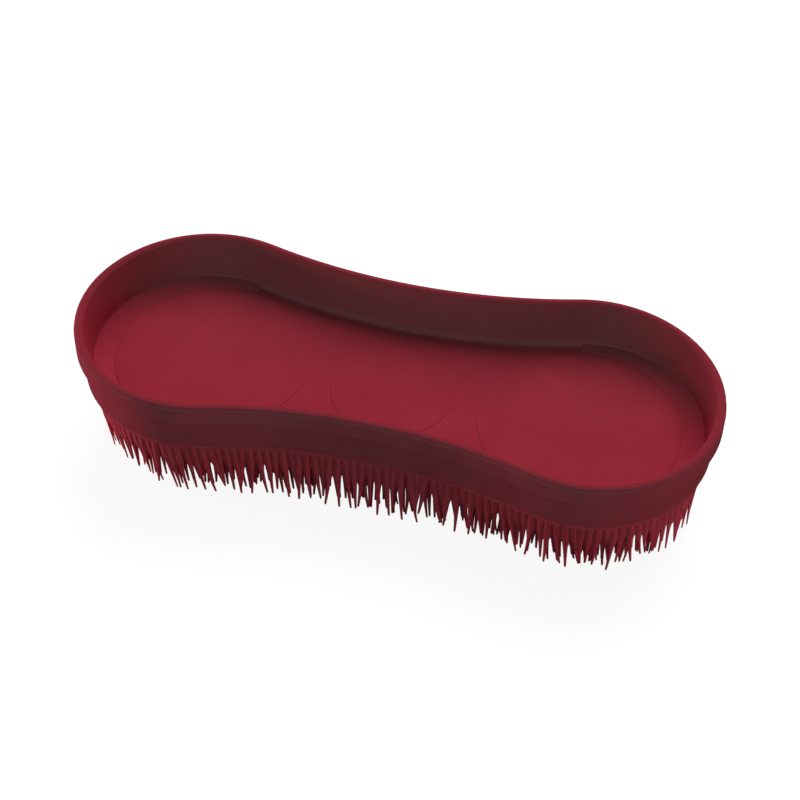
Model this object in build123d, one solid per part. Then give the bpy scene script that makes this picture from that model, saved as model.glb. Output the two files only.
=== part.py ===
"""Horse grooming brush (curry comb): a two-lobed moulded tray held in the hand, with a mat of moulded
bristles glued under its floor.  Millimetres, +Z up, X along the brush, origin on the ground that the
bristle tips stand on, under the middle of the tray."""

import math
import os

from build123d import *

# ---- outline of the tray: two round lobes joined by a hollow waist -----------------------------------------
LENGTH = 180.0  # over the rim band
WIDTH = 71.2  # over the rim band, across a lobe
WAIST = 56.3  # over the rim band, across the waist

# ---- heights, from the bristle tips upwards ----------------------------------------------------------------
BRISTLE_LENGTH = 18.6  # longest bristle, from the mat's face to its tip
BACKING_THICKNESS = 1.5  # sheet that carries the bristles
GLUE_THICKNESS = 0.3
FLOOR_THICKNESS = 1.6
TRAY_DEPTH = 15.0  # floor to rim

# ---- wall of the tray, measured inwards from the outline ---------------------------------------------------
BAND_HEIGHT = 6.0  # thicker band round the rim
BAND_STEP = 1.0  # how far the band stands proud of the wall
BAND_DRAFT = 0.2  # how far the band leans in at its top
RIM_THICKNESS = 2.4
RIM_OUTER_ROUND = 1.1
RIM_INNER_CHAMFER = 0.7
WALL_DRAFT = 0.5  # how far the outer wall leans in at its foot
CAVITY_DRAFT = 1.6  # how far the inner wall leans in at its foot
FLOOR_ROUND = 1.8  # inside, from the wall to the floor
FOOT_CHAMFER = 0.5  # outside, at the foot of the wall
ROUND_FLATS = 3  # narrow flats that make up each round

# ---- raised round pads on the floor, one in each lobe and one between them ---------------------------------
PAD_HEIGHT = 0.08
END_PAD_MARGIN = 9.9  # from the end of the tray to an end pad
END_PAD_SIDE_MARGIN = 7.8  # how much smaller its radius is than the lobe's
CENTRE_PAD_MARGIN = 10.75  # from the side of the waist to the centre pad

# ---- apron: in each lobe the floor rises from the pad to the wall ------------------------------------------
APRON_MARGIN = 0.4  # flat floor between the pad and the apron
APRON_SLOPE = 20.0
APRON_TURN = 98.0  # half the angle it runs through, about the pad's centre

# ---- bristle mat -------------------------------------------------------------------------------------------
MAT_MARGIN = 1.0  # from the foot of the wall to the edge of the backing
GLUE_MARGIN = 0.8  # from the edge of the backing to the edge of the glue
BRISTLE_WIDTH = 2.2  # at the root, across its flat outer side
BRISTLE_THICKNESS = 1.5  # at the root
BORDER_MARGIN = 0.3  # from the edge of the backing to the border row
BORDER_PITCH = 2.5  # between the single bristles of the border row
LOBE_LEAN = 1.0  # how far the tips of the border row lean in round the lobes
WAIST_SPLAY = 2.0  # how far they spread out along the waist
TUFT_PITCH = 8.7  # between neighbouring tufts
TUFT_RADIUS = 2.5  # ring of bristle roots in a tuft
TUFT_BRISTLES = 7
TUFT_SPLAY = 0.8  # how far the tips of a tuft open outwards
TUFT_GAP = 0.6  # least gap between a tuft and the border row
TIP_DRIFT = 1.0  # how far all tips lean along X, the way the mat was pulled from its mould
TIP_STRAY = 0.7  # how far a tip may stray to either side
TIP_SPREAD = 3.5  # how much shorter than the longest a bristle may be
FULL_LENGTH_EVERY = 3  # one bristle in so many has the full length

# ---- derived places ----------------------------------------------------------------------------------------
LOBE_RADIUS = WIDTH / 2
LOBE_CENTRE = LENGTH / 2 - LOBE_RADIUS
WAIST_HALF = WAIST / 2
WAIST_RADIUS = (LOBE_CENTRE**2 + WAIST_HALF**2 - LOBE_RADIUS**2) / (2 * (LOBE_RADIUS - WAIST_HALF))
WAIST_CENTRE = WAIST_HALF + WAIST_RADIUS
WAIST_TURN = math.degrees(math.atan2(LOBE_CENTRE, WAIST_CENTRE))  # half the angle of a waist arc
LOBE_TURN = 90 + WAIST_TURN  # half the angle of a lobe arc

MAT_FACE = BRISTLE_LENGTH
BACKING_TOP = MAT_FACE + BACKING_THICKNESS
FLOOR_UNDER = BACKING_TOP + GLUE_THICKNESS
FLOOR_TOP = FLOOR_UNDER + FLOOR_THICKNESS
RIM_TOP = FLOOR_TOP + TRAY_DEPTH
BAND_UNDER = RIM_TOP - BAND_HEIGHT

RIM_INSET = BAND_DRAFT + RIM_THICKNESS
CAVITY_FOOT_INSET = RIM_INSET + CAVITY_DRAFT
FLOOR_INSET = CAVITY_FOOT_INSET + 2 * FLOOR_ROUND  # well inside the flat of the floor
END_PAD_RADIUS = LOBE_RADIUS - END_PAD_SIDE_MARGIN
END_PAD_CENTRE = LENGTH / 2 - END_PAD_MARGIN - END_PAD_RADIUS
CENTRE_PAD_RADIUS = WAIST_HALF - CENTRE_PAD_MARGIN
WALL_FOOT_INSET = BAND_STEP + WALL_DRAFT
WALL_MIDDLE_INSET = (WALL_FOOT_INSET + CAVITY_FOOT_INSET) / 2
BACKING_INSET = WALL_FOOT_INSET + MAT_MARGIN
BORDER_INSET = BACKING_INSET + BORDER_MARGIN + BRISTLE_THICKNESS / 2
TUFT_INSET = BORDER_INSET + BRISTLE_THICKNESS + TUFT_GAP + TUFT_RADIUS
GOLDEN = (math.sqrt(5) - 1) / 2  # spreads values evenly without repeating


def outline(inset):
    """The two-lobed outline as a face, moved inwards by inset: four arcs whose centres never move."""
    lobe, waist = LOBE_RADIUS - inset, WAIST_RADIUS + inset
    right = CenterArc((LOBE_CENTRE, 0), lobe, -LOBE_TURN, 2 * LOBE_TURN)
    back = CenterArc((0, WAIST_CENTRE), waist, 270 - WAIST_TURN, 2 * WAIST_TURN)
    left = CenterArc((-LOBE_CENTRE, 0), lobe, 180 - LOBE_TURN, 2 * LOBE_TURN)
    front = CenterArc((0, -WAIST_CENTRE), waist, 90 - WAIST_TURN, 2 * WAIST_TURN)
    return make_face([right, back, left, front])


def inset_of(x, y):
    """How far a point lies inside the outline."""
    x, y = abs(x), abs(y)
    beside_waist = math.degrees(math.atan2(x, WAIST_CENTRE - y)) < WAIST_TURN
    if beside_waist:
        return math.hypot(x, WAIST_CENTRE - y) - WAIST_RADIUS
    return LOBE_RADIUS - math.hypot(x - LOBE_CENTRE, y)


def wall_section():
    """Section of the rim band, the wall and the edge of the floor.

    Each corner has its inset, its height, how far its round or chamfer reaches, and the flats in that.
    """
    return [
        (0, BAND_UNDER, 0, 0),
        (BAND_DRAFT, RIM_TOP, RIM_OUTER_ROUND, ROUND_FLATS),
        (RIM_INSET, RIM_TOP, RIM_INNER_CHAMFER, 1),
        (CAVITY_FOOT_INSET, FLOOR_TOP, FLOOR_ROUND, ROUND_FLATS),
        (FLOOR_INSET, FLOOR_TOP, 0, 0),
        (FLOOR_INSET, FLOOR_UNDER, 0, 0),
        (WALL_FOOT_INSET, FLOOR_UNDER, FOOT_CHAMFER, 1),
        (BAND_STEP, BAND_UNDER, 0, 0),
    ]


def wall(centre, radius, inwards, start, turn):
    """The wall along one arc of the outline: its section turned about the arc's centre."""
    across = Vector(1, 0, 0).rotate(Axis.Z, start)
    upright = Plane(origin=(*centre, 0), x_dir=across, z_dir=across.cross(Vector(0, 0, 1)))
    section = wall_section()
    corners = [Vector(radius + inwards * inset, z) for inset, z, _, _ in section]
    points = []
    for k, (corner, (_, _, reach, flats)) in enumerate(zip(corners, section)):
        before = (corners[k - 1] - corner).normalized() * reach
        after = (corners[(k + 1) % len(corners)] - corner).normalized() * reach
        for flat in range(flats + 1):
            share = flat / max(flats, 1)
            points.append(corner + before * (1 - share) ** 2 + after * share**2)
    face = upright * make_face(Polyline(*points, close=True))
    return revolve(face, axis=Axis((*centre, 0), (0, 0, 1)), revolution_arc=turn)


def apron(side):
    """The rising floor round the end of one lobe, as far as the middle of the wall."""
    foot = END_PAD_RADIUS + APRON_MARGIN
    reach = LENGTH / 2 - END_PAD_CENTRE
    rise = (reach - foot) * math.tan(math.radians(APRON_SLOPE))
    section = make_face(Polyline((foot, 0), (reach, 0), (reach, rise), close=True))
    ring = revolve(Plane.XZ * section, axis=Axis.Z, revolution_arc=2 * APRON_TURN)
    ring = Pos(side * END_PAD_CENTRE, 0) * Rot(0, 0, 90 - side * 90 - APRON_TURN) * ring
    return Pos(0, 0, FLOOR_TOP) * (ring & extrude(outline(WALL_MIDDLE_INSET), rise))


def pad(x, radius):
    """A low round pad on the floor."""
    return Pos(x, 0, FLOOR_TOP) * extrude(Circle(radius), PAD_HEIGHT)


def tray():
    """The hand-held tray: rim band, wall and floor, with an apron and a pad in each lobe and a centre pad."""
    body = Pos(0, 0, FLOOR_UNDER) * extrude(outline(FLOOR_INSET), FLOOR_THICKNESS)
    pieces = [pad(0, CENTRE_PAD_RADIUS)]
    for side in (1, -1):
        lobe_start = 90 - side * 90 - LOBE_TURN
        waist_start = 180 + side * 90 - WAIST_TURN
        pieces.append(wall((side * LOBE_CENTRE, 0), LOBE_RADIUS, -1, lobe_start, 2 * LOBE_TURN))
        pieces.append(wall((0, side * WAIST_CENTRE), WAIST_RADIUS, 1, waist_start, 2 * WAIST_TURN))
        pieces.append(apron(side))
        pieces.append(pad(side * END_PAD_CENTRE, END_PAD_RADIUS))
    return body.fuse(*pieces).clean()


def glue():
    """The layer of glue between the tray and the mat."""
    return Pos(0, 0, BACKING_TOP) * extrude(outline(BACKING_INSET + GLUE_MARGIN), GLUE_THICKNESS)


def border_lean(x):
    """How far the tips of the border row stand outside their roots, at x along the brush."""
    at_waist = max(0, 1 - abs(x) / LOBE_CENTRE)
    return WAIST_SPLAY * at_waist - LOBE_LEAN * (1 - at_waist)


def bristle(root, outward, lean, number):
    """A three-sided pointed bristle, its flat side outwards.  Its number settles its length and its stray."""
    along = outward.rotate(Axis.Z, 90)
    stray = TIP_STRAY * math.sin(2 * math.pi * GOLDEN * number)
    shortening = 0 if number % FULL_LENGTH_EVERY == 0 else TIP_SPREAD * (GOLDEN * number % 1) ** 2
    corners = [
        root + outward * (BRISTLE_THICKNESS / 2) + along * (BRISTLE_WIDTH / 2),
        root + outward * (BRISTLE_THICKNESS / 2) - along * (BRISTLE_WIDTH / 2),
        root - outward * (BRISTLE_THICKNESS / 2),
    ]
    tip = root + outward * lean + along * stray + Vector(TIP_DRIFT, 0, shortening - BRISTLE_LENGTH)
    sides = [Face(Wire.make_polygon([corners[k - 1], corners[k], tip])) for k in range(3)]
    return Solid(Shell([Face(Wire.make_polygon(corners)), *sides]))


def bristle_mat():
    """The backing sheet with a border row of single bristles and tufts of bristles on rings inside it."""
    bristles = []
    border = (Pos(0, 0, MAT_FACE) * outline(BORDER_INSET)).face().outer_wire()
    border_count = round(border.length / BORDER_PITCH)
    for number in range(border_count):
        root = border @ (number / border_count)
        outward = (border % (number / border_count)).rotate(Axis.Z, -90)
        bristles.append(bristle(root, outward, border_lean(root.X), number))

    columns = 2 * math.ceil(LENGTH / TUFT_PITCH / 2) + 1
    rows = 2 * math.ceil(WIDTH / TUFT_PITCH / 2) + 1
    field = Pos(0, TUFT_PITCH / 4, MAT_FACE)  # puts one row of the staggered field on the brush's long axis
    for hexagon in HexLocations(TUFT_PITCH / 2, columns, rows):
        tuft = field * hexagon
        if inset_of(tuft.position.X, tuft.position.Y) < TUFT_INSET:
            continue
        for spoke in PolarLocations(TUFT_RADIUS, TUFT_BRISTLES):
            place = tuft * spoke
            bristles.append(bristle(place.position, place.x_axis.direction, TUFT_SPLAY, len(bristles)))

    backing = Pos(0, 0, MAT_FACE) * extrude(outline(BACKING_INSET), BACKING_THICKNESS)
    return backing.fuse(*bristles)


NODES = {"tray": tray, "glue": glue, "bristle_mat": bristle_mat}

if __name__ == "__main__":
    os.makedirs("parts", exist_ok=True)
    for name, make in NODES.items():
        shape = make()
        shape.label = name
        export_step(shape, f"parts/{name}.step")
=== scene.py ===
"""Dresses the two-lobed horse grooming brush: a satin moulded tray, a turf-like mat of bristles under it,
and a stage."""

import math
import random

import bpy
from mathutils import Matrix, Vector


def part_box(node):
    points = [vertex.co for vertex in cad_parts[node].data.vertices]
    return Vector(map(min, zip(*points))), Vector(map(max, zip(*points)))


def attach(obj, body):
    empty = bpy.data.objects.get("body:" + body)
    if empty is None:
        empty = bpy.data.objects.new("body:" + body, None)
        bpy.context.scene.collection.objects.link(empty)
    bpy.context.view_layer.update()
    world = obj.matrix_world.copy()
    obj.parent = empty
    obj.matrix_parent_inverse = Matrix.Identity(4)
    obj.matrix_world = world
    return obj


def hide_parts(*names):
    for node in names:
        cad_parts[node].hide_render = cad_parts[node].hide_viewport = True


bl_info = {
    "name": "Grooming brush looks",
    "version": (1, 0, 0),
    "blender": (4, 5, 0),
    "location": "View3D > Sidebar > Grooming brush",
    "description": "Finishes the tray and grows the bristle mat of a two-lobed horse grooming brush",
    "category": "Object",
}

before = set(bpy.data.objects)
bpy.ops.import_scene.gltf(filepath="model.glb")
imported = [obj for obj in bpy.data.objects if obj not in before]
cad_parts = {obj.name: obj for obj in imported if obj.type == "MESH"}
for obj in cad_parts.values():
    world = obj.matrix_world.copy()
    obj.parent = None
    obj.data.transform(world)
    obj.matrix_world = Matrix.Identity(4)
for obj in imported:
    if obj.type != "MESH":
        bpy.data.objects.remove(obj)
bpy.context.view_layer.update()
MM = 0.001  # the scene is in metres
BODY = "root"  # nothing on the brush moves, so it has one body

# ---- the brush, read from its CAD nodes --------------------------------------------------------------------
TRAY_LOW, TRAY_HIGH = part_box("tray")
MAT_LOW, MAT_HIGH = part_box("bristle_mat")


def from_hex(code):
    """A colour written as sRGB hex, as the linear values that shaders and lamps work in."""
    values = [int(code[k : k + 2], 16) / 255 for k in (0, 2, 4)]
    return tuple(v / 12.92 if v <= 0.04045 else ((v + 0.055) / 1.055) ** 2.4 for v in values)


# ---- what a user may change --------------------------------------------------------------------------------
class BRUSH_PG_plastics(bpy.types.PropertyGroup):
    """Colours of the two mouldings and the glue"""

    tray: bpy.props.FloatVectorProperty(
        name="Tray",
        description="Colour of the moulded tray",
        subtype="COLOR",
        default=from_hex("982737"),
    )
    # the root colour is lighter than the tray's, as painted light against the shade between the bristles
    bristle_root: bpy.props.FloatVectorProperty(
        name="Bristle roots",
        description="Colour of the bristles where they leave the backing sheet",
        subtype="COLOR",
        default=from_hex("B23444"),
    )
    # the tip colour is lighter than the roots', as painted glow of light shining through the tips
    bristle_tip: bpy.props.FloatVectorProperty(
        name="Bristle tips",
        description="Colour of the thin bristle tips, which let light through",
        subtype="COLOR",
        default=from_hex("D23850"),
    )
    glue: bpy.props.FloatVectorProperty(
        name="Glue",
        description="Colour of the cured glue",
        subtype="COLOR",
        default=from_hex("D8CBA6"),
    )


class BRUSH_PG_bristles(bpy.types.PropertyGroup):
    """Sizes of the bristle mat"""

    waist: bpy.props.FloatProperty(
        name="Waist",
        description="Width of the backing sheet across its waist",
        unit="LENGTH",
        default=51.3 * MM,
    )
    backing: bpy.props.FloatProperty(
        name="Backing", description="Thickness of the backing sheet", unit="LENGTH", default=1.5 * MM
    )
    width: bpy.props.FloatProperty(
        name="Width", description="Width of a bristle at its root", unit="LENGTH", default=2.5 * MM
    )
    thickness: bpy.props.FloatProperty(
        name="Thickness",
        description="Thickness of a bristle at its root",
        unit="LENGTH",
        default=1.5 * MM,
    )
    tip: bpy.props.FloatProperty(
        name="Tip", description="Width of a bristle's round tip", unit="LENGTH", default=0.6 * MM
    )
    bend: bpy.props.FloatProperty(
        name="Bend", description="How far a bristle's tip bends aside", unit="LENGTH", default=1.2 * MM
    )
    tuft_pitch: bpy.props.FloatProperty(
        name="Tuft pitch",
        description="Distance between neighbouring tufts",
        unit="LENGTH",
        default=8.7 * MM,
    )
    tuft_radius: bpy.props.FloatProperty(
        name="Tuft radius",
        description="Radius of a tuft's ring of roots",
        unit="LENGTH",
        default=2.5 * MM,
    )
    tuft_count: bpy.props.IntProperty(
        name="Bristles in a tuft", description="Bristles on one ring", default=8
    )
    border_pitch: bpy.props.FloatProperty(
        name="Border pitch",
        description="Distance between the single bristles of a border row",
        unit="LENGTH",
        default=2.2 * MM,
    )
    border_rows: bpy.props.IntProperty(
        name="Border rows", description="Staggered rows of single bristles round the edge", default=3
    )
    row_step: bpy.props.FloatProperty(
        name="Row step",
        description="Distance from one border row to the next",
        unit="LENGTH",
        default=1.6 * MM,
    )


class BRUSH_PG_stage(bpy.types.PropertyGroup):
    """Power of each lamp, and the camera"""

    back_lamp: bpy.props.FloatProperty(
        name="Back lamp",
        description="Power of the broad lamp above and behind",
        unit="POWER",
        default=14.4,
    )
    left_lamp: bpy.props.FloatProperty(
        name="Left lamp", description="Power of the lamp at the left end", unit="POWER", default=3.2
    )
    right_lamp: bpy.props.FloatProperty(
        name="Right lamp", description="Power of the lamp at the right end", unit="POWER", default=0.9
    )
    front_card: bpy.props.FloatProperty(
        name="Front card",
        description="Power of the white card in front, seen only as sheen",
        unit="POWER",
        default=8.0,
    )
    focal_length: bpy.props.FloatProperty(
        name="Focal length", description="Camera's focal length in millimetres", default=66.92
    )


# ---- materials ---------------------------------------------------------------------------------------------
def add_node(tree, kind, inputs=None, stops=(), **settings):
    """Adds a node with its settings, and a colour ramp with its (position, RGBA) stops.  An input goes by
    name, or by number where several share a name, and is a value or another node's output to link from."""
    node = tree.nodes.new(kind)
    for name, value in settings.items():
        setattr(node, name, value)
    for k, (position, colour) in enumerate(stops):
        node.color_ramp.elements[k].position = position
        node.color_ramp.elements[k].color = colour
    for name, value in (inputs or {}).items():
        if isinstance(value, bpy.types.NodeSocket):
            tree.links.new(value, node.inputs[name])
        else:
            node.inputs[name].default_value = value
    return node


def new_material(name):
    """An empty node material and its tree."""
    material = bpy.data.materials.new(name)
    material.use_nodes = True
    material.node_tree.nodes.clear()
    return material, material.node_tree


def shades(colour, dark, light):
    """Two shades of one colour, as RGBA, for the ends of a colour ramp."""
    return [(*(min(1.0, channel * share) for channel in colour), 1.0) for share in (dark, light)]


FLOW_CLOUD = 22 * MM  # width of the clouds in the tray's colour
GLOSS_PATCH = 6 * MM  # width of the patches in its gloss
GRAIN = 0.4 * MM  # the real grain is about 0.05 mm, drawn this coarse so that it shows
GRAIN_DEPTH = 0.03 * MM
EDGE_ROUND = 0.3 * MM  # an edge is shaded as a round of this radius, so that narrow flats read as one round
OUTSIDE = (2 * MM, 10 * MM)  # a face is outside where it lies this far out on the side that it faces
OUTSIDE_POLISH = 0.26  # how much smoother the outside is
SATIN = (0.74, 0.82)  # roughness of the inside, from patch to patch
RIM_BAND_SHADED_AND_DULLED = 1.4 * MM  # how far down from its top the rim has painted shade in its colour and a duller skin
PAINTED_SHADE_PEAK = 0.3 * MM  # how far down from its top the painted shade is darkest
RIM_DULLEST = 0.8 * MM  # how far down from its top it is dullest
PAINTED_SHADE_SHARE = 0.74  # share of the tray's colour that the painted shade leaves where it is darkest
RIM_DULL = 0.95  # its roughness where it is dullest


def moulded_polypropylene(colour):
    """Polypropylene, injection-moulded: a satin skin with a very fine grain, faint cloudiness where the melt
    flowed, and a slightly uneven gloss.  The inside comes from a sandblasted core, which leaves it duller
    than the outside.  The rim grows duller towards its top, and painted shade darkens its colour there."""
    material, tree = new_material("polypropylene_satin_moulded")
    spot = add_node(tree, "ShaderNodeTexCoord").outputs
    place = spot["Object"]
    height = add_node(tree, "ShaderNodeSeparateXYZ", {"Vector": place}).outputs["Z"]

    # colour: faint clouds, and painted shade that darkens it towards the top of the rim
    flow = add_node(
        tree,
        "ShaderNodeTexNoise",
        {"Vector": place, "Scale": 1 / FLOW_CLOUD, "Detail": 3.0, "Distortion": 0.6},
    )
    dark, light = shades(colour, 0.93, 1.05)
    clouds = add_node(
        tree, "ShaderNodeValToRGB", {"Fac": flow.outputs["Fac"]}, stops=[(0.35, dark), (0.68, light)]
    )
    # painted shade: the colour darkens towards the top of the rim
    painted_rim_shade = add_node(
        tree,
        "ShaderNodeMapRange",
        {
            "Value": height,
            "From Min": TRAY_HIGH.z - RIM_BAND_SHADED_AND_DULLED,
            "From Max": TRAY_HIGH.z - PAINTED_SHADE_PEAK,
            "To Min": 1.0,
            "To Max": PAINTED_SHADE_SHARE,
        },
        interpolation_type="SMOOTHSTEP",
    )
    tint = add_node(
        tree,
        "ShaderNodeVectorMath",
        {"Vector": clouds.outputs["Color"], "Scale": painted_rim_shade.outputs["Result"]},
        operation="SCALE",
    )

    # gloss: uneven inside, smoother outside, and dull towards the top of the rim
    patches = add_node(
        tree, "ShaderNodeTexNoise", {"Vector": place, "Scale": 1 / GLOSS_PATCH, "Detail": 4.0}
    )
    inside = add_node(
        tree,
        "ShaderNodeMapRange",
        {
            "Value": patches.outputs["Fac"],
            "From Min": 0.3,
            "From Max": 0.7,
            "To Min": SATIN[0],
            "To Max": SATIN[1],
        },
    )
    # how far out a face lies, measured along its own normal: below zero on the inner wall
    level = add_node(tree, "ShaderNodeVectorMath", {0: place, 1: (1.0, 1.0, 0.0)}, operation="MULTIPLY")
    faces_out = add_node(
        tree,
        "ShaderNodeVectorMath",
        {0: level.outputs["Vector"], 1: spot["Normal"]},
        operation="DOT_PRODUCT",
    )
    polish = add_node(
        tree,
        "ShaderNodeMapRange",
        {
            "Value": faces_out.outputs["Value"],
            "From Min": OUTSIDE[0],
            "From Max": OUTSIDE[1],
            "To Min": 0.0,
            "To Max": OUTSIDE_POLISH,
        },
    )
    skin = add_node(
        tree,
        "ShaderNodeMath",
        {0: inside.outputs["Result"], 1: polish.outputs["Result"]},
        operation="SUBTRACT",
    )
    dulled = add_node(
        tree,
        "ShaderNodeMapRange",
        {
            "Value": height,
            "From Min": TRAY_HIGH.z - RIM_BAND_SHADED_AND_DULLED,
            "From Max": TRAY_HIGH.z - RIM_DULLEST,
            "To Min": 0.0,
            "To Max": RIM_DULL,
        },
    )
    rough = add_node(
        tree,
        "ShaderNodeMath",
        {0: skin.outputs["Value"], 1: dulled.outputs["Result"]},
        operation="MAXIMUM",
    )

    # relief: rounded edges and a fine grain
    rounds = add_node(tree, "ShaderNodeBevel", {"Radius": EDGE_ROUND}, samples=8)
    grain = add_node(tree, "ShaderNodeTexNoise", {"Vector": place, "Scale": 1 / GRAIN, "Detail": 2.0})
    bump = add_node(
        tree,
        "ShaderNodeBump",
        {
            "Height": grain.outputs["Fac"],
            "Strength": 0.12,
            "Distance": GRAIN_DEPTH,
            "Normal": rounds.outputs["Normal"],
        },
    )
    shader = add_node(
        tree,
        "ShaderNodeBsdfPrincipled",
        {
            "Base Color": tint.outputs["Vector"],
            "Roughness": rough.outputs["Value"],
            "Normal": bump.outputs["Normal"],
            "IOR": 1.49,
        },
    )
    add_node(tree, "ShaderNodeOutputMaterial", {"Surface": shader.outputs["BSDF"]})
    return material


STREAK = 1.2 * MM  # width of the streaks along a bristle
STREAK_STRETCH = 0.12  # a streak is longer than wide by one over this
STREAK_DEPTH = 0.05 * MM


def moulded_polyethylene(root_colour, tip_colour_with_painted_glow):
    """Polyethylene, injection-moulded into thin blades: waxy and slightly see-through, so the tips glow
    where light stands behind them, with drawn-out streaks along each blade.  Their colour also lightens
    towards the tips, as painted glow of the light that comes through them."""
    material, tree = new_material("polyethylene_waxy_moulded")
    place = add_node(tree, "ShaderNodeTexCoord").outputs["Object"]
    height = add_node(tree, "ShaderNodeSeparateXYZ", {"Vector": place}).outputs["Z"]
    reach = add_node(
        tree,
        "ShaderNodeMapRange",
        {"Value": height, "From Min": MAT_LOW.z, "From Max": MAT_HIGH.z, "To Min": 1.0, "To Max": 0.0},
    )
    # painted glow: the colour lightens from root to tip, on top of the real subsurface glow
    tint = add_node(
        tree,
        "ShaderNodeValToRGB",
        {"Fac": reach.outputs["Result"]},
        stops=[(0.2, (*root_colour, 1.0)), (0.95, (*tip_colour_with_painted_glow, 1.0))],
    )
    long_way = add_node(tree, "ShaderNodeMapping", {"Vector": place, "Scale": (1.0, 1.0, STREAK_STRETCH)})
    streaks = add_node(
        tree,
        "ShaderNodeTexNoise",
        {"Vector": long_way.outputs["Vector"], "Scale": 1 / STREAK, "Detail": 2.0},
    )
    gloss = add_node(
        tree,
        "ShaderNodeMapRange",
        {
            "Value": streaks.outputs["Fac"],
            "From Min": 0.3,
            "From Max": 0.7,
            "To Min": 0.38,
            "To Max": 0.52,
        },
    )
    bump = add_node(
        tree,
        "ShaderNodeBump",
        {"Height": streaks.outputs["Fac"], "Strength": 0.25, "Distance": STREAK_DEPTH},
    )
    shader = add_node(
        tree,
        "ShaderNodeBsdfPrincipled",
        {
            "Base Color": tint.outputs["Color"],
            "Roughness": gloss.outputs["Result"],
            "Normal": bump.outputs["Normal"],
            "IOR": 1.51,
            "Subsurface Weight": 0.35,
            "Subsurface Radius": (1.2 * MM, 0.25 * MM, 0.3 * MM),
            "Subsurface Scale": 1.0,
        },
    )
    add_node(tree, "ShaderNodeOutputMaterial", {"Surface": shader.outputs["BSDF"]})
    return material


RIPPLE = 5 * MM  # width of the ripples in the glue
RIPPLE_DEPTH = 0.1 * MM


def hot_melt_glue(colour):
    """Hot-melt glue, cured in a pressed layer: cloudy cream with shallow ripples."""
    material, tree = new_material("hot_melt_glue_cured")
    place = add_node(tree, "ShaderNodeTexCoord").outputs["Object"]
    ripples = add_node(tree, "ShaderNodeTexNoise", {"Vector": place, "Scale": 1 / RIPPLE, "Detail": 3.0})
    dark, light = shades(colour, 0.85, 1.05)
    tint = add_node(
        tree, "ShaderNodeValToRGB", {"Fac": ripples.outputs["Fac"]}, stops=[(0.3, dark), (0.7, light)]
    )
    bump = add_node(
        tree,
        "ShaderNodeBump",
        {"Height": ripples.outputs["Fac"], "Strength": 0.4, "Distance": RIPPLE_DEPTH},
    )
    shader = add_node(
        tree,
        "ShaderNodeBsdfPrincipled",
        {
            "Base Color": tint.outputs["Color"],
            "Roughness": 0.35,
            "Normal": bump.outputs["Normal"],
            "Subsurface Weight": 0.2,
        },
    )
    add_node(tree, "ShaderNodeOutputMaterial", {"Surface": shader.outputs["BSDF"]})
    return material


def dress(piece, material):
    """Gives a piece or a CAD node its one material."""
    piece.data.materials.clear()
    piece.data.materials.append(material)


# ---- the outline of the mat: two round lobes joined by a hollow waist --------------------------------------
class Outline:
    """The two-lobed outline of the backing sheet, and outlines that run inside it."""

    def __init__(self, half_length, half_width, half_waist):
        self.lobe_radius = half_width
        self.lobe_x = half_length - half_width
        pinch = half_width - half_waist
        # a waist arc touches both lobes, so its centre is the sum of the two radii away from theirs
        self.waist_radius = (self.lobe_x**2 + half_waist**2 - half_width**2) / (2 * pinch)
        self.waist_y = half_waist + self.waist_radius
        self.waist_turn = math.atan2(self.lobe_x, self.waist_y)  # half the angle of a waist arc

    def depth(self, x, y):
        """How far the point lies inside the outline."""
        x, y = abs(x), abs(y)
        if math.atan2(x, self.waist_y - y) < self.waist_turn:
            return math.hypot(x, self.waist_y - y) - self.waist_radius
        return self.lobe_radius - math.hypot(x - self.lobe_x, y)

    def walk(self, inset, pitch, stagger=0.0):
        """Points about one pitch apart round the outline that runs inset inside it, with the way outwards.
        A stagger shifts them all by a share of the pitch."""
        lobe, waist = self.lobe_radius - inset, self.waist_radius + inset
        lobe_turn, waist_turn = math.pi / 2 + self.waist_turn, self.waist_turn
        # centre, radius, start, turn, and whether outwards is away from the centre or towards it
        arcs = [
            (self.lobe_x, 0, lobe, -lobe_turn, 2 * lobe_turn, 1),
            (0, self.waist_y, waist, -math.pi / 2 + waist_turn, -2 * waist_turn, -1),
            (-self.lobe_x, 0, lobe, math.pi - lobe_turn, 2 * lobe_turn, 1),
            (0, -self.waist_y, waist, math.pi / 2 + waist_turn, -2 * waist_turn, -1),
        ]
        for x, y, radius, start, turn, out in arcs:
            count = round(abs(turn) * radius / pitch)
            for k in range(count):
                angle = start + turn * (k + stagger) / count
                place = Vector((x + radius * math.cos(angle), y + radius * math.sin(angle)))
                yield place, Vector((out * math.cos(angle), out * math.sin(angle)))


# ---- modelling ---------------------------------------------------------------------------------------------
def deselect():
    """Leaves edit mode and selects nothing, so that an operator acts on the new piece alone."""
    if bpy.context.object and bpy.context.object.mode == "EDIT":
        bpy.ops.object.mode_set(mode="OBJECT")
    bpy.ops.object.select_all(action="DESELECT")


def boolean(piece, other, operation):
    """Joins another solid to the piece or cuts it away, and removes the other."""
    modifier = piece.modifiers.new(operation.lower(), "BOOLEAN")
    modifier.object, modifier.operation, modifier.solver = other, operation, "EXACT"
    deselect()
    bpy.context.view_layer.objects.active = piece
    piece.select_set(True)
    bpy.ops.object.modifier_apply(modifier=modifier.name)
    bpy.data.objects.remove(other)


def cylinder(radius, low, high, x, y, vertices):
    """An upright cylinder between two heights."""
    deselect()
    bpy.ops.mesh.primitive_cylinder_add(
        vertices=vertices, radius=radius, depth=high - low, location=(x, y, (low + high) / 2)
    )
    return bpy.context.object


def set_in_place(piece):
    """Moves a piece's place into its mesh, so that its object sits at the origin."""
    deselect()
    bpy.context.view_layer.objects.active = piece
    piece.select_set(True)
    bpy.ops.object.transform_apply(location=True, rotation=True, scale=True)


LOBE_FACETS = 128  # flats round a lobe of the backing sheet
WAIST_FACETS = 720  # flats round the full circle of which a waist arc is a short part


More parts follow.
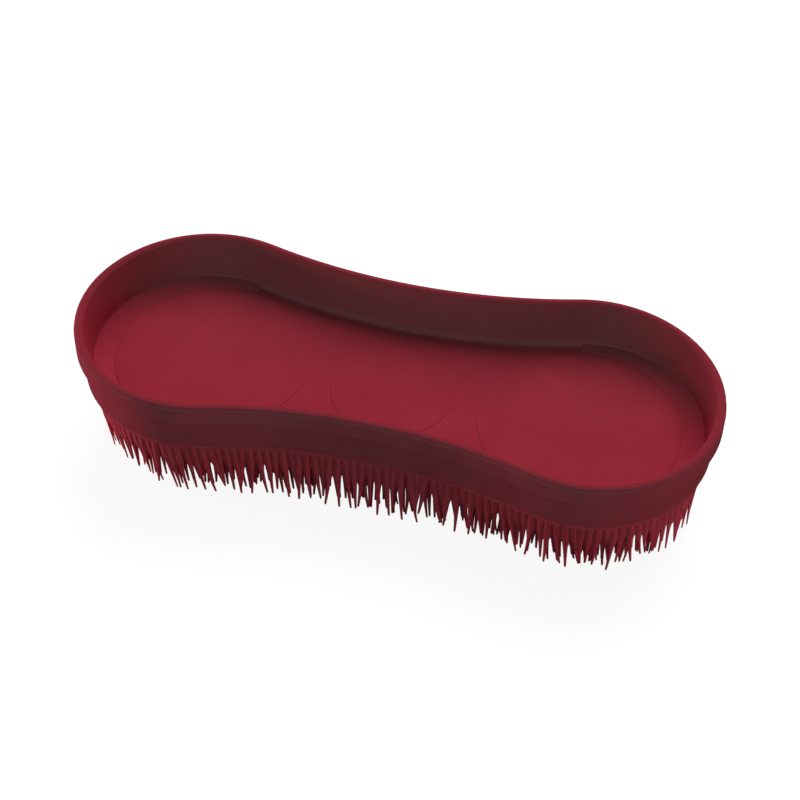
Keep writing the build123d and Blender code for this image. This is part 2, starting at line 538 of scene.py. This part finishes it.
def backing_sheet(outline, low, high):
    """The sheet that carries the bristles: two round lobes and a bar between them, hollowed on both sides."""
    deselect()
    bpy.ops.mesh.primitive_cube_add(size=1, location=(0, 0, (low + high) / 2))
    sheet = bpy.context.object
    join_x = outline.lobe_x - outline.lobe_radius * math.sin(outline.waist_turn)
    join_y = outline.lobe_radius * math.cos(outline.waist_turn)
    sheet.scale = (2 * join_x, 2 * join_y, high - low)
    set_in_place(sheet)
    for side in (1, -1):
        place = (0, side * outline.waist_y)
        hollow = cylinder(outline.waist_radius, low - MM, high + MM, *place, WAIST_FACETS)
        boolean(sheet, hollow, "DIFFERENCE")
    for side in (1, -1):
        lobe = cylinder(outline.lobe_radius, low, high, side * outline.lobe_x, 0, LOBE_FACETS)
        boolean(sheet, lobe, "UNION")
    sheet.name = "backing_sheet"
    bpy.ops.object.shade_smooth_by_angle(angle=math.radians(30))
    return sheet


BRISTLE_SIDES = 6
RINGS = 6  # rings of points between a bristle's stocky part and the rounding of its tip, both ends counted
STOCKY = 0.34  # share of a bristle's length over which it keeps its width
SLIMMING = 0.45  # how soon it slims below that: 1 is evenly, less is sooner
TIP_ROUND = 0.3 * MM  # length of the rounding at a bristle's tip
TIP_RINGS = ((1 / 3, 0.75), (0, 0.3))  # share of that length still to go, and share of the tip's width


def model_bristle(sizes, length, bend):
    """One bristle, one unit long, its root at the origin and its tip down: a six-sided blade that keeps its
    width near its root, then narrows to a slender round tip and bends aside."""
    deselect()
    bpy.ops.mesh.primitive_circle_add(vertices=BRISTLE_SIDES, radius=1, fill_type="NGON")
    bpy.ops.object.mode_set(mode="EDIT")
    bpy.ops.mesh.select_all(action="SELECT")
    bpy.ops.transform.resize(value=(sizes.thickness / 2, sizes.width / 2, 1), center_override=(0, 0, 0))
    round_share = TIP_ROUND / length
    tip_width = sizes.tip / sizes.width
    rings = []
    for ring in range(RINGS):
        share = ring / (RINGS - 1)
        deep = STOCKY + (1 - round_share - STOCKY) * share
        rings.append((deep, 1 - (1 - tip_width) * share**SLIMMING))
    rings += [(1 - round_share * to_go, across * tip_width) for to_go, across in TIP_RINGS]
    last_deep, last_across = 0.0, 1.0
    for deep, across in rings:
        aside = bend * deep**2
        step = (0, aside - bend * last_deep**2, last_deep - deep)
        bpy.ops.mesh.extrude_region_move(TRANSFORM_OT_translate={"value": step})
        scale = across / last_across
        bpy.ops.transform.resize(value=(scale, scale, 1), center_override=(0, aside, -deep))
        last_deep, last_across = deep, across
    bpy.ops.mesh.select_all(action="SELECT")
    bpy.ops.mesh.normals_make_consistent(inside=False)
    bpy.ops.object.mode_set(mode="OBJECT")
    bpy.ops.object.shade_smooth_by_angle(angle=math.radians(50))
    return bpy.context.object


BENDS = (0.2, 0.6, 1.0)  # share of the full bend that each of the bristles has
SEED = 3
BORDER_MARGIN = 0.3 * MM  # from the edge of the sheet to the first border row
TUFT_GAP = 0.6 * MM  # least gap between a tuft and the first border row
LOBE_LEAN = 0.5 * MM  # how far the tips of the border rows lean in round the lobes
WAIST_SPLAY = 2.4 * MM  # how far they spread out at the waist
TUFT_SPLAY = 0.8 * MM  # how far the tips of a tuft open outwards
TIP_DRIFT = 1.0 * MM  # how far all tips lean along X, the way the mat was pulled from its mould
TIP_STRAY = 1.2 * MM  # how far a tip strays from its place
LONG_STRAY = 0.3  # share of it by which the longest bristles stray outwards, while the shorter ones lean in
TIP_SPREAD = 3.0 * MM  # how much shorter than the longest a bristle may be
TIP_CLEAR = 0.05 * MM  # the longest tips end this far above the ground
ROOT_DEPTH = 0.3 * MM  # how far a bristle's root reaches into the sheet


def border_lean(x, lobe_x):
    """How far the tips of the border rows stand outside their roots, at x along the brush."""
    at_waist = max(0, 1 - abs(x) / lobe_x)
    return WAIST_SPLAY * at_waist - LOBE_LEAN * (1 - at_waist)


def plant(bristles, chance, root, outward, lean, face):
    """A copy of one of the bristles, rooted in the sheet: turned outwards, leaning, and cut to a length."""
    shortness = chance.random()
    length = face - TIP_CLEAR - TIP_SPREAD * shortness**2
    copy = bpy.data.objects.new("bristle", chance.choice(bristles).data.copy())
    along = Vector((-outward.y, outward.x))
    out = lean + TIP_STRAY * (LONG_STRAY - shortness)
    drift = outward * out + along * chance.uniform(-TIP_STRAY, TIP_STRAY)
    flip = chance.choice((1, -1))  # half the bristles bend the other way
    drop = length + ROOT_DEPTH
    shape = Matrix(
        (
            (outward.x * flip, along.x * flip, -drift.x - TIP_DRIFT, root.x),
            (outward.y * flip, along.y * flip, -drift.y, root.y),
            (0, 0, drop, face + ROOT_DEPTH),
            (0, 0, 0, 1),
        )
    )
    copy.data.transform(shape)
    bpy.context.scene.collection.objects.link(copy)
    return copy


def plant_border(sizes, outline, bristles, chance, face):
    """The border: staggered rows of single bristles that run round inside the edge of the sheet."""
    first_row = BORDER_MARGIN + sizes.thickness / 2
    border = []
    for row in range(sizes.border_rows):
        stagger = row / sizes.border_rows
        roots = outline.walk(first_row + row * sizes.row_step, sizes.border_pitch, stagger)
        for root, outward in roots:
            lean = border_lean(root.x, outline.lobe_x)
            border.append(plant(bristles, chance, root, outward, lean, face))
    return border


def plant_tufts(sizes, outline, bristles, chance, face):
    """Tufts of bristles on rings, in a field where each tuft is one pitch from its six neighbours."""
    column_step = sizes.tuft_pitch * math.sin(math.radians(60))  # neighbours stand 60 degrees apart
    columns = math.ceil(MAT_HIGH.x / column_step)
    rows = math.ceil(MAT_HIGH.y / sizes.tuft_pitch)
    first_row = BORDER_MARGIN + sizes.thickness / 2
    inset = first_row + sizes.thickness + TUFT_GAP + sizes.tuft_radius
    tufts = []
    for column in range(-columns, columns + 1):
        for row in range(-rows, rows + 1):
            centre = Vector((column * column_step, (row + 0.5 * (column % 2)) * sizes.tuft_pitch))
            if outline.depth(*centre) < inset:
                continue
            for spoke in range(sizes.tuft_count):
                angle = 2 * math.pi * spoke / sizes.tuft_count
                outward = Vector((math.cos(angle), math.sin(angle)))
                root = centre + outward * sizes.tuft_radius
                tufts.append(plant(bristles, chance, root, outward, TUFT_SPLAY, face))
    return tufts


def gather(pieces, name):
    """Joins many small pieces into one."""
    deselect()
    for piece in pieces:
        piece.select_set(True)
    bpy.context.view_layer.objects.active = pieces[0]
    bpy.ops.object.join()
    whole = bpy.context.object
    whole.name = name
    return whole


def claim(piece):
    """Rides a piece of the mat on the brush's body, in the place of the CAD mat."""
    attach(piece, BODY)
    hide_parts("bristle_mat")


# ---- stage -------------------------------------------------------------------------------------------------
FLOOR_SIZE = 8.0
FLOOR_GLOW = 0.91  # share of its white that the floor shows in the deepest shadow
FLOOR_PAPER = 0.17  # how strongly light and shade show on it
FLOOR_BOUNCE = 0.50  # share of the light on it that the floor throws back at the brush
FLOOR_SHEEN = 0.02  # share of it that satin plastic reflects
WORLD_FILL = 0.13  # strength of the light from all round
WORLD_SHEEN = 0.05  # how bright all round looks in the satin plastic
WHITE = (1.0, 1.0, 1.0, 1.0)

# where each lamp hangs, in metres, and how long its side is
LAMPS = {
    "back_lamp": ((0.05, 0.68, 0.82), 1.0),
    "left_lamp": ((-0.6, -0.05, 0.03), 0.1),
    "right_lamp": ((0.6, -0.12, 0.03), 0.1),
    "front_card": ((0.0, -0.9, 0.38), 0.25),
}


def seen_directly(tree):
    """1 where the camera sees the surface itself, or through something clear."""
    path = add_node(tree, "ShaderNodeLightPath").outputs
    rays = {0: path["Is Camera Ray"], 1: path["Is Transmission Ray"]}
    return add_node(tree, "ShaderNodeMath", rays, operation="MAXIMUM").outputs["Value"]


def reflected(tree, otherwise, in_gloss):
    """The second number where a glossy surface reflects this one, and the first elsewhere."""
    glossy = add_node(tree, "ShaderNodeLightPath").outputs["Is Glossy Ray"]
    levels = {"Value": glossy, "To Min": otherwise, "To Max": in_gloss}
    return add_node(tree, "ShaderNodeMapRange", levels).outputs["Result"]


def lay_floor():
    """A wide floor that looks white and keeps a soft shadow, and throws back half the light on it."""
    deselect()
    bpy.ops.mesh.primitive_plane_add(size=FLOOR_SIZE)
    floor = bpy.context.object
    floor.name = "floor"
    material, tree = new_material("floor_white_paper")
    glow = add_node(tree, "ShaderNodeEmission", {"Color": WHITE, "Strength": FLOOR_GLOW})
    paper = add_node(tree, "ShaderNodeBsdfDiffuse", {"Color": (*[FLOOR_PAPER] * 3, 1.0)})
    shown = add_node(tree, "ShaderNodeAddShader", {0: glow.outputs["Emission"], 1: paper.outputs["BSDF"]})
    thrown = add_node(tree, "ShaderNodeBsdfDiffuse", {"Color": reflected(tree, FLOOR_BOUNCE, FLOOR_SHEEN)})
    choice = add_node(
        tree,
        "ShaderNodeMixShader",
        {"Fac": seen_directly(tree), 1: thrown.outputs["BSDF"], 2: shown.outputs["Shader"]},
    )
    add_node(tree, "ShaderNodeOutputMaterial", {"Surface": choice.outputs["Shader"]})
    dress(floor, material)


def fill_world():
    """White where it is seen, an even sheen where satin plastic reflects it, and a weak light otherwise."""
    world = bpy.data.worlds.new("studio")
    bpy.context.scene.world = world
    world.use_nodes = True
    tree = world.node_tree
    tree.nodes.clear()
    unseen = reflected(tree, WORLD_FILL, WORLD_SHEEN)
    strength = add_node(
        tree, "ShaderNodeMapRange", {"Value": seen_directly(tree), "To Min": unseen, "To Max": 1.0}
    )
    background = add_node(
        tree, "ShaderNodeBackground", {"Color": WHITE, "Strength": strength.outputs["Result"]}
    )
    add_node(tree, "ShaderNodeOutputWorld", {"Surface": background.outputs["Background"]})


def hang_lamp(name, power):
    """A square soft lamp in its place, aimed at the brush."""
    place, side = LAMPS[name]
    data = bpy.data.lights.new(name, "AREA")
    data.energy, data.size = power, side
    lamp = bpy.data.objects.new(name, data)
    lamp.location = place
    aim = Vector((0, 0, TRAY_LOW.z)) - Vector(place)
    lamp.rotation_euler = aim.to_track_quat("-Z", "Y").to_euler()
    bpy.context.scene.collection.objects.link(lamp)
    return lamp


CAMERA_TARGET = Vector((6.255, -17.229, 37.0)) * MM
CAMERA_DISTANCE = 389.9 * MM
CAMERA_AZIMUTH = math.radians(13.53)
CAMERA_ELEVATION = math.radians(46.53)
CAMERA_ROLL = math.radians(1.06)
SENSOR_WIDTH = 36.0  # millimetres, as the focal length is


def place_camera(focal_length):
    """The camera, above the front of the brush and a little to its right."""
    back = Vector(
        (
            math.sin(CAMERA_AZIMUTH) * math.cos(CAMERA_ELEVATION),
            -math.cos(CAMERA_AZIMUTH) * math.cos(CAMERA_ELEVATION),
            math.sin(CAMERA_ELEVATION),
        )
    )
    data = bpy.data.cameras.new("camera")
    data.lens, data.sensor_width = focal_length, SENSOR_WIDTH
    camera = bpy.data.objects.new("camera", data)
    turn = back.to_track_quat("Z", "Y").to_matrix() @ Matrix.Rotation(CAMERA_ROLL, 3, "Z")
    camera.matrix_world = Matrix.Translation(CAMERA_TARGET + back * CAMERA_DISTANCE) @ turn.to_4x4()
    bpy.context.scene.collection.objects.link(camera)
    bpy.context.scene.camera = camera


# ---- operators ---------------------------------------------------------------------------------------------
class BRUSH_OT_finish_tray(bpy.types.Operator):
    """Gives the moulded tray its plastic"""

    bl_idname = "brush.finish_tray"
    bl_label = "Finish the tray"

    def execute(self, context):
        dress(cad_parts["tray"], moulded_polypropylene(context.scene.brush_plastics.tray))
        return {"FINISHED"}


class BRUSH_OT_finish_glue(bpy.types.Operator):
    """Gives the layer of glue under the tray its finish"""

    bl_idname = "brush.finish_glue"
    bl_label = "Finish the glue"

    def execute(self, context):
        dress(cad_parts["glue"], hot_melt_glue(context.scene.brush_plastics.glue))
        return {"FINISHED"}


class BRUSH_OT_grow_mat(bpy.types.Operator):
    """Models the backing sheet and the bristles, and plants the border and the tufts with copies of them"""

    bl_idname = "brush.grow_mat"
    bl_label = "Grow the bristle mat"

    def execute(self, context):
        sizes = context.scene.brush_bristles
        colours = context.scene.brush_plastics
        plastic = moulded_polyethylene(colours.bristle_root, colours.bristle_tip)
        face = MAT_HIGH.z - sizes.backing
        outline = Outline(MAT_HIGH.x, MAT_HIGH.y, sizes.waist / 2)

        sheet = backing_sheet(outline, face, MAT_HIGH.z)
        bristles = [model_bristle(sizes, face, sizes.bend * share) for share in BENDS]
        chance = random.Random(SEED)
        border = plant_border(sizes, outline, bristles, chance, face)
        tufts = plant_tufts(sizes, outline, bristles, chance, face)
        for bristle in bristles:
            bpy.data.objects.remove(bristle)
        for piece in (sheet, gather(border, "border_bristles"), gather(tufts, "tuft_bristles")):
            dress(piece, plastic)
            claim(piece)
        return {"FINISHED"}


class BRUSH_OT_set_stage(bpy.types.Operator):
    """Lays a pale floor, hangs the lamps and places the camera"""

    bl_idname = "brush.set_stage"
    bl_label = "Set the stage"

    def execute(self, context):
        sizes = context.scene.brush_stage
        lay_floor()
        fill_world()
        for name in ("back_lamp", "left_lamp", "right_lamp"):
            lamp = hang_lamp(name, getattr(sizes, name))
            lamp.visible_glossy = False  # it lights the brush without a streak on the satin plastic
        card = hang_lamp("front_card", sizes.front_card)
        card.visible_diffuse = False  # only its faint sheen shows, on the walls that face the front
        place_camera(sizes.focal_length)
        context.scene.view_settings.view_transform = "Standard"
        return {"FINISHED"}


# ---- add-on ------------------------------------------------------------------------------------------------
GROUPS = {
    "brush_plastics": BRUSH_PG_plastics,
    "brush_bristles": BRUSH_PG_bristles,
    "brush_stage": BRUSH_PG_stage,
}
OPERATORS = (BRUSH_OT_finish_tray, BRUSH_OT_finish_glue, BRUSH_OT_grow_mat, BRUSH_OT_set_stage)


class BRUSH_PT_panel(bpy.types.Panel):
    """Lists the brush's steps and sizes"""

    bl_idname = "BRUSH_PT_panel"
    bl_label = "Grooming brush"
    bl_space_type = "VIEW_3D"
    bl_region_type = "UI"
    bl_category = "Grooming brush"

    def draw(self, context):
        for operator in OPERATORS:
            self.layout.operator(operator.bl_idname)
        for name in GROUPS:
            group = getattr(context.scene, name)
            box = self.layout.box()
            for size in group.bl_rna.properties.keys():
                if size not in ("rna_type", "name"):
                    box.prop(group, size)


def register():
    """Registers the groups, the operators and the panel."""
    for name, group in GROUPS.items():
        bpy.utils.register_class(group)
        setattr(bpy.types.Scene, name, bpy.props.PointerProperty(type=group))
    for operator in OPERATORS:
        bpy.utils.register_class(operator)
    bpy.utils.register_class(BRUSH_PT_panel)


def unregister():
    """Removes what register added."""
    bpy.utils.unregister_class(BRUSH_PT_panel)
    for operator in reversed(OPERATORS):
        bpy.utils.unregister_class(operator)
    for name, group in GROUPS.items():
        delattr(bpy.types.Scene, name)
        bpy.utils.unregister_class(group)


def main():
    """Builds the whole scene."""
    register()
    bpy.ops.brush.finish_tray()
    bpy.ops.brush.finish_glue()
    bpy.ops.brush.grow_mat()
    bpy.ops.brush.set_stage()


if __name__ == "__main__":
    main()
